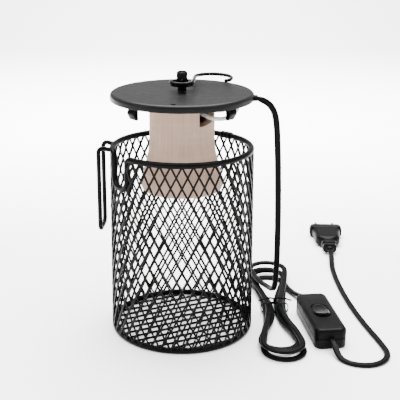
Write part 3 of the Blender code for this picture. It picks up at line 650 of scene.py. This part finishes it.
def sheet(name, bm, place, merge=1e-3):
    """Thickens a flat mesh. place(x, y, side) gives a point of its front or of its back."""
    bm.verts.ensure_lookup_table()
    flat = [vert.co.copy() for vert in bm.verts]
    faces = [[vert.index for vert in face.verts] for face in bm.faces]
    # Points that the wrap brings together become one, so that the seam stays open inside.
    first = {}
    same = []
    for index, point in enumerate(flat):
        where = place(point.x, point.y, 1)
        key = tuple(round(value / merge) for value in where)
        same.append(first.setdefault(key, index))
    bm.free()
    made = bmesh.new()
    front = {index: made.verts.new(place(flat[index].x, flat[index].y, 1)) for index in sorted(set(same))}
    back = {index: made.verts.new(place(flat[index].x, flat[index].y, -1)) for index in sorted(set(same))}
    used = set()
    outlines = []
    for face in faces:
        outline = [same[index] for index in face]
        outline = [here for here, after in zip(outline, outline[1:] + outline[:1]) if here != after]
        if len(outline) > 2:
            outlines.append(outline)
            used.update(zip(outline, outline[1:] + outline[:1]))
    for outline in outlines:
        made.faces.new([front[index] for index in outline])
        made.faces.new([back[index] for index in reversed(outline)])
    for here, after in sorted(used):
        if (after, here) not in used:
            made.faces.new((front[after], front[here], back[here], back[after]))
    return mesh_of(made, name, 40.0)


def lean(up, cell):
    """How far a strand leans out of the sheet, because the metal was slit and then pulled open."""
    return TWIST * math.sin(4 * math.pi * up / cell[1])


def make_wall():
    width = AROUND * DIAMOND[0]
    low, high = 2.6, CAGE_HEIGHT - RIM_WIRE / 2
    bm = diamonds(AROUND, 10, DIAMOND, CROSSING, low)
    ends = [((0, 0, 0), (-1, 0, 0)), ((width, 0, 0), (1, 0, 0)), ((0, low, 0), (0, -1, 0)), ((0, high, 0), (0, 1, 0))]
    for point, outward in ends:
        trim(bm, point, outward)
    left = (NOTCH_ANGLE - NOTCH_HALF_ANGLE + 180) / 360 * width
    right = (NOTCH_ANGLE + NOTCH_HALF_ANGLE + 180) / 360 * width
    corner = 5.2  # the notch's lower corners are cut off under the round bend of the rim wire
    sides = [((left, 0, 0), (1, 0, 0)), ((right, 0, 0), (-1, 0, 0)), ((0, NOTCH_BOTTOM, 0), (0, 1, 0))]
    sides += [((left, NOTCH_BOTTOM + corner, 0), (1, 1, 0)), ((right, NOTCH_BOTTOM + corner, 0), (-1, 1, 0))]
    for point, inward in sides:
        trim(bm, point, inward, keep=True)
    gone = []
    for face in bm.faces:
        centre = face.calc_center_median()
        if all((centre - Vector(point)).dot(Vector(inward)) > 0 for point, inward in sides):
            gone.append(face)
    bmesh.ops.delete(bm, geom=gone, context="FACES")

    def on_wall(x, y, side):
        radius = WALL_FOOT_RADIUS + (WALL_TOP_RADIUS - WALL_FOOT_RADIUS) * y / CAGE_HEIGHT
        return around(radius + side * SHEET / 2 + lean(y - low, DIAMOND), 360 * x / width - 180, y)

    mesh = sheet("expanded_wall", bm, on_wall)
    bevel(show("expanded_wall", mesh, "cage_black", "cage", ("wall_mesh",)), 0.16, 1)


def make_floor_mesh():
    columns, rows = 16, 8
    bm = diamonds(columns, rows, FLOOR_DIAMOND, FLOOR_CROSSING)
    reach = BASE_RING_RADIUS - 1.0
    middle = Vector((columns * FLOOR_DIAMOND[0] / 2, rows * FLOOR_DIAMOND[1] / 2, 0))
    for step in range(48):
        turn = 2 * math.pi * step / 48
        outward = Vector((math.cos(turn), math.sin(turn), 0))
        trim(bm, middle + outward * reach, outward)

    def on_floor(x, y, side):
        flat = turned_by(FLOOR_TURN, (x - middle.x, y - middle.y, 0))
        return Vector((flat.x, flat.y, 1.0 + side * SHEET / 2 + lean(y, FLOOR_DIAMOND)))

    mesh = sheet("expanded_floor", bm, on_floor)
    bevel(show("expanded_floor", mesh, "cage_black", "cage", ("base_mesh",)), 0.16, 1)


# ---------------------------------------------------------------- cage
def make_cage():
    per_degree = RIM_RADIUS * math.radians(1)
    centre = CAGE_HEIGHT - RIM_WIRE / 2
    left = (NOTCH_ANGLE - NOTCH_HALF_ANGLE) * per_degree
    right = (NOTCH_ANGLE + NOTCH_HALF_ANGLE) * per_degree
    start, end = left - 10 * per_degree, right + 10 * per_degree
    corners = [(start, centre), (left, centre), (left, NOTCH_BOTTOM)]
    corners += [(right, NOTCH_BOTTOM), (right, centre), (end, centre)]
    dip = evenly(filleted(corners, [4.5, 9.0, 9.0, 4.5], 10), 0.9)
    points = [around(RIM_RADIUS, run / per_degree, height) for run, height in dip]
    whole = 360 - (end - start) / per_degree
    for step in range(1, 130):
        points.append(around(RIM_RADIUS, end / per_degree + whole * step / 130, centre))
    show("rim", wire("rim", points, RIM_WIRE + 2 * COAT, True), "cage_black", "cage", ("rim_wire",))

    sleeve = []
    sections = []
    for share in range(25):
        angle = 131 + 12 * share / 24
        sleeve.append(around(RIM_RADIUS, angle, centre))
        crimp = 0.28 * (math.exp(-(((share - 8) / 1.6) ** 2)) + math.exp(-(((share - 16) / 1.6) ** 2)))
        taper = 0.7 * ease(1 - min(share, 24 - share) / 2.5)
        sections.append(circle(RIM_WIRE / 2 + COAT + 0.8 - crimp - taper, 24))
    mesh = swept("rim_ferrule", sleeve, sections, carried(sleeve, Vector((0, 0, 1))))
    show("rim_ferrule", mesh, "cage_black", "cage", ("rim_joint_sleeve",))

    points = [around(BASE_RING_RADIUS, 360 * step / 144, RIM_WIRE / 2 + COAT) for step in range(144)]
    show("foot_ring", wire("foot_ring", points, RIM_WIRE + 2 * COAT, True), "cage_black", "cage", ("base_ring",))

    diameter = SIDE_HOOK_WIRE + 2 * COAT
    near, far = Vector((-68.8, -10.0, 0)), Vector((-66.8, 12.5, 0))
    ends = [around(60.8, -81.0), around(60.8, -100.5)]
    top, bottom, rise = Vector((0, 0, CAGE_HEIGHT - diameter / 2)), Vector((0, 0, 90.4)), Vector((0, 0, 2.2))
    corners = [ends[0] + top, near + top + rise, near + bottom, far + bottom, far + top + rise, ends[1] + top]
    points = evenly(filleted(corners, (3.6, 5.0, 5.0, 3.6), 12), 1.2)
    mesh = wire("hanging_loop", points, diameter, tips=0.9)
    show("hanging_loop", mesh, "cage_black", "cage", ("side_hook",))
    bm = bmesh.new()
    for end_point in ends:
        found = bmesh.ops.create_uvsphere(bm, u_segments=20, v_segments=12, radius=1.0)["verts"]
        bmesh.ops.scale(bm, vec=(2.3, 2.6, 1.9), verts=found)
        bmesh.ops.translate(bm, vec=end_point * 0.985 + top, verts=found)
    show("loop_welds", mesh_of(bm, "loop_welds", 60.0, 1e-5), "cage_black", "cage")


# ---------------------------------------------------------------- lid and hanger
def threaded(name, radius, depth, pitch, low, high, wall=0.0, sides=40, per_turn=8):
    """A bar with a round thread, or a rolled tube if it is given a wall."""
    levels = round((high - low) / pitch * per_turn)
    outer = []
    inner = []
    for level in range(levels + 1):
        height = low + (high - low) * level / levels
        ramp = min(1.0, min(level, levels - level) / per_turn * 1.5)
        loops = ([], [])
        for side in range(sides):
            turn = 2 * math.pi * side / sides
            groove = depth * ramp * (0.5 - 0.5 * math.cos(2 * math.pi * height / pitch - turn))
            for loop, out in zip(loops, (radius - groove, radius - groove - wall)):
                loop.append((out * math.cos(turn), out * math.sin(turn), height))
        outer.append(loops[0])
        inner.append(loops[1])
    bm = bmesh.new()
    if wall:
        skin(bm, outer + inner[::-1], cyclic=True)
    else:
        skin(bm, outer)
    return mesh_of(bm, name, 50.0)


def make_lid():
    on_lid = Matrix.Translation((0, 0, LID_TOP))
    inside = LID_RADIUS - LID_SHEET
    profile = [(3.4, 0.0), (57.4, 0.0), (LID_RADIUS, -1.5), (LID_RADIUS, -LID_SKIRT), (inside, -LID_SKIRT)]
    profile += [(inside, -2.6), (56.2, -LID_SHEET), (3.4, -LID_SHEET)]
    mesh = turned("cover_plate", softened(profile, 1.2, 5), 160)
    lid = show("cover_plate", mesh, "lid_black", "lid", ("lid_disc",), on_lid)
    notch = placed(around(LID_RADIUS - 1.0, CORD_ANGLE, LID_TOP), CORD_ANGLE)
    cut(lid, box_mesh("notch", (-4.1, -6, -8), (4.1, 6, -1.5)), notch)
    drill = turned("drill", [(0, 4), (VENT_RADIUS, 4), (VENT_RADIUS, -6), (0, -6)], 32)
    cut(lid, drill, Matrix.Translation(around(53.6, -7.2, LID_TOP)))


def make_post():
    """The threaded post and its stack: spacer, washer, the hook's eye, a pin and a knurled nut."""
    on_lid = Matrix.Translation((0, 0, LID_TOP))
    mesh = threaded("post_thread", 2.9, 0.45, 1.0, -10.0, 15.6)
    show("post_thread", mesh, "plated_steel", "lid", ("threaded_rod",), on_lid)
    outer = []
    for height, shrink in ((6.2, 0.5), (6.7, 0.0), (15.6, 0.0), (16.6, 1.0)):
        loop = []
        for side in range(88):
            turn = 2 * math.pi * side / 88
            groove = 0.16 if side % 2 and not shrink else 0.0
            out = 4.4 - shrink - groove
            loop.append((out * math.cos(turn), out * math.sin(turn), height))
        outer.append(loop)
    bore = [[(x * 3.2 / math.hypot(x, y), y * 3.2 / math.hypot(x, y), z) for x, y, z in outer[row]] for row in (3, 0)]
    bm = bmesh.new()
    skin(bm, outer + bore, cyclic=True)
    mesh = mesh_of(bm, "knurled_nut", 30.0)
    show("knurled_nut", mesh, "hanger_black", "lid", ("sleeve_nut",), on_lid)
    height = EYE_HEIGHT + HOOK_WIRE / 2 + 1.35  # the pin lies just above the eye
    points = evenly([Vector((0, -8.0, height)), Vector((0, 8.0, height))], 1.0)
    mesh = wire("cross_pin", points, 1.8, tips=0.6)
    show("cross_pin", mesh, "plated_steel", "lid", ("retaining_pin",), finish="hanger_black")

    eye = []
    for step in range(49):
        turn = math.radians(60 + 300 * step / 48)
        eye.append(Vector((EYE_RADIUS * math.cos(turn), EYE_RADIUS * math.sin(turn), 0)))
    shank = [(8.8, 0, 0), (9.6, 8, -0.1), (10.3, 20, -0.8), (10.8, 34, -1.8), (13, 44.5, -2.3)]
    shank += [(18.5, 50.6, -2.4), (26, 52.4, -2.4), (34, 50, -2.4), (40, 44.5, -2.6)]
    shank += [(42.6, 39, -3.4), (40.6, 35, -4.6), (36.8, 35.6, -5.4)]
    points = [point + Vector((0, 0, EYE_HEIGHT + COAT / 2)) for point in eye[:-1] + smooth_route(shank, 1.3)]
    mesh = wire("wire_hook", points, HOOK_WIRE + COAT, tips=0.8)
    show("wire_hook", mesh, "hanger_black", "hanger", ("hanger_hook",))


def make_clips():
    line = [(55.3, -2.15), (50.35, -2.15), (50.35, -17.6), (54.7, -10.7), (52.7, -6.2)]
    line = evenly(filleted(line, (1.1, 0.75, 1.5), 6), 0.4)
    points = [Vector((0, -radius, height + LID_TOP)) for radius, height in line]
    normals = [way.cross(Vector((1, 0, 0))).normalized() for way in tangents(points)]
    section = rounded_outline(8.0, 1.0, 0.4, 3)
    for number, angle in enumerate(CLIP_ANGLES, 1):
        name = f"spring_clip_{number}"
        mesh = swept(name, points, section, normals)
        turn = Matrix.Rotation(math.radians(angle), 4, "Z")
        show(name, mesh, "lid_black", "lid", (f"snap_clip_{number}",), turn, "cage_black")


# ---------------------------------------------------------------- lampholder
def make_socket():
    top = LID_TOP - 1.5
    profile = [(26.2, top), (27.0, top - 0.8), (27.0, 166), (28.0, 157), (30.0, 149), (32.4, 140), (33.5, 134)]
    profile += [(33.8, 127), (33.0, 124.9), (30.2, 124.9), (29.6, 134), (27.2, 143.2), (14.4, 143.2)]
    profile += [(14.4, 170.3), (3.2, 170.3), (3.2, 181), (20.5, 181), (21.5, top)]
    mesh = turned("ceramic_body", softened(profile, 1.4, 4), 160)
    body = show("ceramic_body", mesh, "socket_ceramic", "lid", ("socket_body",))
    bm = bmesh.new()
    outline = [(-10.5, top + 5), (10.5, top + 5), (10.5, 190.0), (6.0, 184.4), (-6.0, 182.2), (-10.5, 182.2)]
    skin(bm, [[(x, y, z) for x, z in outline] for y in (-8, 8)])
    cut(body, mesh_of(bm, "window"), placed(around(24.5, 54), 54))

    mesh = threaded("rolled_shell", 14.1, 0.9, LAMP_THREAD_PITCH, 144.0, 169.2, wall=0.45, sides=72)
    show("rolled_shell", mesh, "brass", "lid", ("screw_shell",))
    mesh = turned("shell_floor", [(13.9, 170.0), (13.9, 169.1), (7.0, 169.1), (7.0, 170.0)], 64)
    show("shell_floor", mesh, "brass", "lid")
    stud = [(0, 183.6), (2.8, 183.6), (2.8, 181.3), (1.6, 181.3), (1.6, 166.6), (5.2, 166.6), (5.2, 165.4)]
    stud += [(4.4, 164.7), (3.0, 164.4), (0, 164.4)]
    show("contact_stud", turned("contact_stud", stud, 48), "brass", "lid", ("centre_contact",))

    first = [(12.5, 2.0, -15.0), (17, -8, -17.6), (26, -15.5, -19.4), (36, -17.4, -18.4)]
    first += [(43.6, -14.6, -13.0), (47.2, -9.4, -4.6)]
    second = [(-5.0, 3.5, -14.0), (6, -6, -12.6), (14, -12.5, -12.2), (25, -15.6, -12.4)]
    second += [(34, -14.0, -12.4), (41.8, -9.0, -8.2), (47.8, -4.6, -4.2)]
    for name, node, route in (("braided_lead_1", "lead_live", first), ("braided_lead_2", "lead_neutral", second)):
        points = [point + Vector((0, 0, LID_TOP)) for point in smooth_route(route, 1.2)]
        show(name, wire(name, points, LEAD_WIDTH), "lead_sleeve", "lid", (node,))


# ---------------------------------------------------------------- switch and plug
def make_switch():
    width, length = SWITCH_SIZE
    on_switch = placed((*SWITCH_PLACE, 0), SWITCH_TURN)

    def level(inset, height):
        return rounded_outline(width - 2 * inset, length - 2 * inset, 6.0 - inset, 8), height

    levels = [level(1.6, 0.0), level(0.5, 0.4), level(0.1, 1.3), level(0.0, 2.4), level(0.0, 8.4)]
    levels += [level(0.35, 8.55), level(0.35, 8.85)]
    mesh = stacked("switch_bottom", levels)
    base = show("switch_bottom", mesh, "moulded_black", "cage", ("switch_base",), on_switch)
    inside = rounded_outline(width - 4.4, length - 5.0, 4.0)
    cut(base, stacked("hollow", [(inside, 2.2), (inside, 12.0)]), on_switch)

    levels = [level(0.35, 9.15), level(0.0, 9.35)]
    for turn in (0, 0.26, 0.52, 0.79, 1.05, 1.31):
        levels.append(level(3.0 - 3.0 * math.cos(turn), 14.6 + 3.0 * math.sin(turn)))
    levels += [level(3.0, SWITCH_HEIGHT)]
    mesh = stacked("switch_top", levels)
    cover = show("switch_top", mesh, "moulded_black", "cage", ("switch_cover",), on_switch)
    cut(cover, stacked("hollow", [(inside, 5.0), (inside, SWITCH_HEIGHT - 2.0)]), on_switch)
    window = rounded_outline(14.6, 26.4, 6.9, 10)
    cut(cover, stacked("window", [(window, 12.0), (window, 20.0)]), on_switch)

    loops = []
    steps = [(0.3, 6.4), (0.0, 6.0), (0.0, 1.2), (0.25, 0.45), (0.8, 0.08), (1.6, 0.0), (3.2, 0.0), (5.4, 0.0)]
    for shrink, drop in steps:
        loop = []
        for x, y in rounded_outline(13.8 - 2 * shrink, 24.4 - 2 * shrink, 6.6 - shrink, 8):
            loop.append((x, y, 4.6 + 1.4 * (y / 12.2) ** 2 - drop))
        loops.append(loop)
    bm = bmesh.new()
    skin(bm, loops)
    place = on_switch @ placed((0, 0, ROCKER_AXIS), -6, "X")
    mesh = mesh_of(bm, "rocker_button", 50.0)
    show("rocker_button", mesh, "rocker_black", "rocker", ("switch_rocker",), place)


def across_plug(name, stations, sharp=35.0):
    """Rounded rectangles across the plug's axis, from (place along it, width, height, corner)."""
    bm = bmesh.new()
    loops = []
    for along, width, height, corner in stations:
        loops.append([(x, along, y) for x, y in rounded_outline(width, height, corner, 7)])
    skin(bm, loops)
    return mesh_of(bm, name, sharp)


def make_plug():
    spot = placed((*PLUG_PLACE, PLUG_AXIS_HEIGHT), PLUG_TURN)
    body = [(0.0, 8.6, 7.6, 3.4), (0.5, 10.2, 9.0, 3.9), (1.6, 13.0, 9.8, 4.2), (3.6, 19.0, 11.0, 4.6)]
    body += [(6.0, 24.0, 12.0, 4.9), (9.0, 26.0, 12.3, 5.0), (20.0, 28.0, 12.6, 5.0), (32.6, 30.4, 12.9, 4.9)]
    body += [(33.4, 31.2, 13.0, 4.8), (34.0, 34.2, 13.5, 4.7), (34.8, 35.3, 13.7, 4.7), (42.0, 35.3, 13.7, 4.7)]
    body += [(42.8, 34.4, 12.9, 4.4), (43.0, 33.6, 12.2, 4.2)]
    show("plug_moulding", across_plug("plug_moulding", body), "moulded_black", "cage", ("plug_body",), spot)
    relief = [(0.0, 6.4, 5.0, 2.3), (0.5, 7.0, 5.6, 2.6), (3.6, 7.5, 6.2, 2.8), (4.2, 13.2, 8.6, 3.0)]
    relief += [(4.7, 14.2, 9.3, 3.2), (9.3, 14.4, 9.4, 3.2), (9.9, 13.4, 8.8, 3.0), (10.1, 8.2, 7.0, 3.0)]
    relief += [(11.9, 8.2, 7.0, 3.0), (12.1, 14.4, 9.4, 3.2), (12.6, 15.2, 10.0, 3.4), (17.5, 15.6, 10.2, 3.4)]
    relief += [(18.1, 14.6, 9.6, 3.2), (18.3, 8.8, 7.6, 3.2), (20.0, 8.8, 7.6, 3.2)]
    place = spot @ Matrix.Translation((0, -RELIEF_LENGTH - 0.3, 0))
    mesh = across_plug("relief_collars", relief, 30.0)
    show("relief_collars", mesh, "moulded_black", "cage", ("plug_strain_relief",), place)
    for number, side in enumerate((-1, 1), 1):
        place = spot @ placed((side * PIN_SPACING / 2, 43.3, 0), -90, "X")
        pin = [(0.0, 19.0), (0.9, 18.9), (1.5, 18.5), (1.9, 17.7), (2.0, 16.9), (2.0, 10.3), (1.4, 10.3)]
        pin += [(1.4, 0.0), (0.0, 0.0)]
        name = f"round_pin_{number}"
        show(name, turned(name, pin, 40), "pin_metal", "cage", (f"plug_pin_{number}",), place)
        cover = [(2.0, 9.8), (2.0, 0.0), (1.7, 0.0), (1.7, 10.0), (1.85, 10.0)]
        name = f"insulated_shank_{number}"
        show(name, turned(name, cover, 40), "moulded_black", "cage", (f"pin_sleeve_{number}",), place)


def make_tie():
    """A black wire tie round the waist of the hank, twisted shut on top."""
    points = [Vector((HANK_X + x, HANK_Y, 5.0 + z)) for x, z in rounded_outline(24.6, 9.0, 3.2, 6)]
    normals = [way.cross(Vector((0, 1, 0))).normalized() for way in tangents(points, True)]
    mesh = swept("wire_tie", points, rounded_outline(2.6, 0.8, 0.35, 2), normals, cyclic=True)
    show("wire_tie", mesh, "cord_black", "cage", ("cord_tie",))
    for number, side in enumerate((-1, 1), 1):
        points = [Vector((HANK_X + side * 3.5, HANK_Y, 9.9))]
        for step in range(15):
            turn = math.pi * (step / 4 + (side > 0))
            rise = 10.4 + 3.6 * step / 14
            along = HANK_Y - 0.3 * step / 14 + math.sin(turn) * 0.8
            points.append(Vector((HANK_X + math.cos(turn) * 0.8, along, rise)))
        for across, along, height in ((4, -1.6, 15.4), (9, -3.4, 15.6), (14.5, -4.2, 14.2)):
            points.append(Vector((HANK_X + side * across, HANK_Y + along, height)))
        name = f"tie_end_{number}"
        mesh = wire(name, smooth_route(points, 0.7), 1.5, sides=12, tips=0.5)
        show(name, mesh, "cord_black", "cage")


# ---------------------------------------------------------------- cords
def twin_section():
    """The section of a flat twin cord: two round cores side by side, with a shallow groove on each face."""
    radius = CORD_THICKNESS / 2
    offset = CORD_WIDTH / 2 - radius
    meet = math.degrees(math.acos(-offset / radius))
    points = []
    for centre, middle in ((offset, 0), (-offset, 180)):
        for step in range(11):
            turn = math.radians(middle + meet * (step / 5 - 1))
            points.append((centre + radius * math.cos(turn), radius * math.sin(turn)))
    return points


def from_switch(along, height):
    """A point on the switch's long axis, at a height."""
    return Vector((*SWITCH_PLACE, height)) + turned_by(SWITCH_TURN, (0, along, 0))


def lying(ways):
    """Normals that stand upright wherever the cord lies."""
    upright = Vector((0, 0, 1))
    return [(upright - way * way.z).normalized() for way in ways]


def hank_route():
    """The tied loops, from the top of the hank to where the cord leaves it beside the switch."""
    points = []

    def lane(*places):
        points.extend((HANK_X + across, along, height) for across, along, height in places)

    def loop(side, across, along, radius, height):
        for step in range(9):
            turn = math.radians(180 * step / 8)
            here = across - math.cos(turn) * radius * side
            lane((here, along + side * math.sin(turn) * radius, height))

    lane((-3.0, 44, 13.8), (-10.5, 62, 12.4))
    loop(1, 0.4, 92.0, 17.0, 11.8)
    lane((14.0, 66, 10.8), (9.5, 44, 8.4), (5.4, HANK_Y, 6.3), (8.0, -8, 6.9), (13.0, -34, 8.5))
    loop(-1, -0.5, -56.0, 16.6, 8.5)
    lane((-13.6, -34, 8.4), (-8.5, -8, 6.9), (-5.4, HANK_Y, 6.3), (-8.6, 44, 7.2), (-13.6, 66, 8.3))
    loop(1, -1.5, 84.0, 16.2, 8.5)
    lane((13.4, 64, 8.0), (10.4, 44, 4.9), (8.1, HANK_Y, 2.9), (9.6, -8, 2.6), (13.2, -36, 1.9))
    loop(-1, 0.6, -55.5, 17.0, 1.75)
    lane((-13.8, -36, 1.9), (-9.6, -8, 2.6), (-8.1, HANK_Y, 2.9), (-9.6, 44, 3.8), (-12.8, 62, 5.0))
    loop(1, 1.2, 88.0, 16.4, 5.1)
    lane((10.6, 64, 4.6), (5.2, 44, 3.4), (2.7, HANK_Y, 2.9), (4.4, -6, 3.5), (10.6, -28, 5.2))
    loop(-1, -1.8, -46.0, 16.2, 5.1)
    lane((-12.0, -26, 5.1), (-5.0, -4, 3.6), (-2.7, HANK_Y, 2.9), (-4.6, 42, 2.4), (-11.0, 64, 1.9))
    loop(1, 0.0, 79.0, 16.0, 1.75)
    lane((17.4, 70.0, 1.9))
    return points


def make_cords():
    section = twin_section()
    exit_point = around(60.0, CORD_ANGLE, 203.2)
    drop = [exit_point, around(65.6, CORD_ANGLE, 202.2), (70.3, -9.5, 199.4), (74.0, -9.2, 195.1)]
    drop += [(76.0, -8.8, 189.7), (77.3, -7.8, 182.5), (78.5, -6.4, 170), (80.0, -3.5, 148), (81.3, 0.0, 122)]
    drop += [(82.4, 3.5, 96), (83.1, 7.5, 70), (83.5, 12.5, 46), (83.5, 20.0, 27), (83.0, 31.0, 17.2)]
    half = SWITCH_SIZE[1] / 2
    to_switch = [(103.0, 62.0, 2.4), (106.5, 52.0, 3.4), (110.5, 43.0, 5.4)]
    to_switch += [from_switch(half + behind, SWITCH_SPLIT) for behind in (9.0, 0.3)]
    points = relaxed(smooth_route(drop + hank_route() + to_switch, 2.2))
    ways = tangents(points)
    flat = lying(ways)
    hanging = carried(points, Vector((0, 0, 1)))
    for index in range(len(points)):  # the flat cord turns on edge just past the lid
        hanging[index] = Matrix.Rotation(math.radians(-90) * ease((index + 1) / 5), 3, ways[index]) @ hanging[index]
    landing = next(index for index, point in enumerate(points) if point.z < HANK_TOP)
    start = max(landing - 55, 1)  # from here down it turns flat again
    gap = math.atan2(hanging[landing].cross(flat[landing]).dot(ways[landing]), hanging[landing].dot(flat[landing]))
    normals = []
    for index, way in enumerate(ways):
        if index >= landing:
            normals.append(flat[index])
            continue
        share = ease((index - start) / (landing - start))
        normals.append(Matrix.Rotation(gap * share, 3, way) @ hanging[index])
    mesh = swept("lamp_cord", points, section, normals, sharp=60.0)
    cord = show("lamp_cord", mesh, "cord_black", None, ("cord_drop", "cord_hank", "cord_to_switch"))
    lamp_cord = (cord, [point * MM for point in points], length_of(points) * MM)

    route = [from_switch(-half - 0.3, SWITCH_SPLIT), from_switch(-half - 9, SWITCH_SPLIT - 1), (127.5, -70.3, 2.1)]
    laid = [(134.2, -77.9), (143.5, -81.5), (153.9, -80.5), (162.5, -74.6), (167.3, -65.8), (168.0, -56.0)]
    laid += [(165.0, -36), (160.5, -12), (156.4, 16), (153.6, 44), (152.2, 72), (152.0, 98)]
    route += [(*place, CORD_LAID) for place in laid] + [(153.0, 121, 2.2)]
    for behind in (RELIEF_LENGTH + 12.0, RELIEF_LENGTH + 0.6):
        route.append(Vector((*PLUG_PLACE, PLUG_AXIS_HEIGHT)) + turned_by(PLUG_TURN, (0, -behind, 0)))
    points = relaxed(smooth_route(route, 2.4), 6)
    mesh = swept("plug_cord", points, section, lying(tangents(points)), sharp=60.0)
    lead = show("plug_cord", mesh, "cord_black", "cage", ("cord_to_plug",))
    return lamp_cord, (lead, [point * MM for point in points], length_of(points) * MM)


def declare_cords(lamp_cord, plug_cord):
    cord, path, _ = lamp_cord
    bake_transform(cord)


def finish_cad_nodes():
    """The pieces that keep their CAD shape get a finish and rounded edges."""
    slots = {part["node"]: part["material_slot"] for part in frame["record"]["subparts"]}
    for name, node in frame["nodes"].items():
        node.data.materials.clear()
        node.data.materials.append(FINISHES[slots[name]])
        bevel(node, 0.18)


def main():
    make_stage()
    finish_cad_nodes()
    make_wall()
    make_floor_mesh()
    make_cage()
    make_lid()
    make_post()
    make_clips()
    make_socket()
    make_switch()
    make_plug()
    make_tie()
    declare_cords(*make_cords())


main()
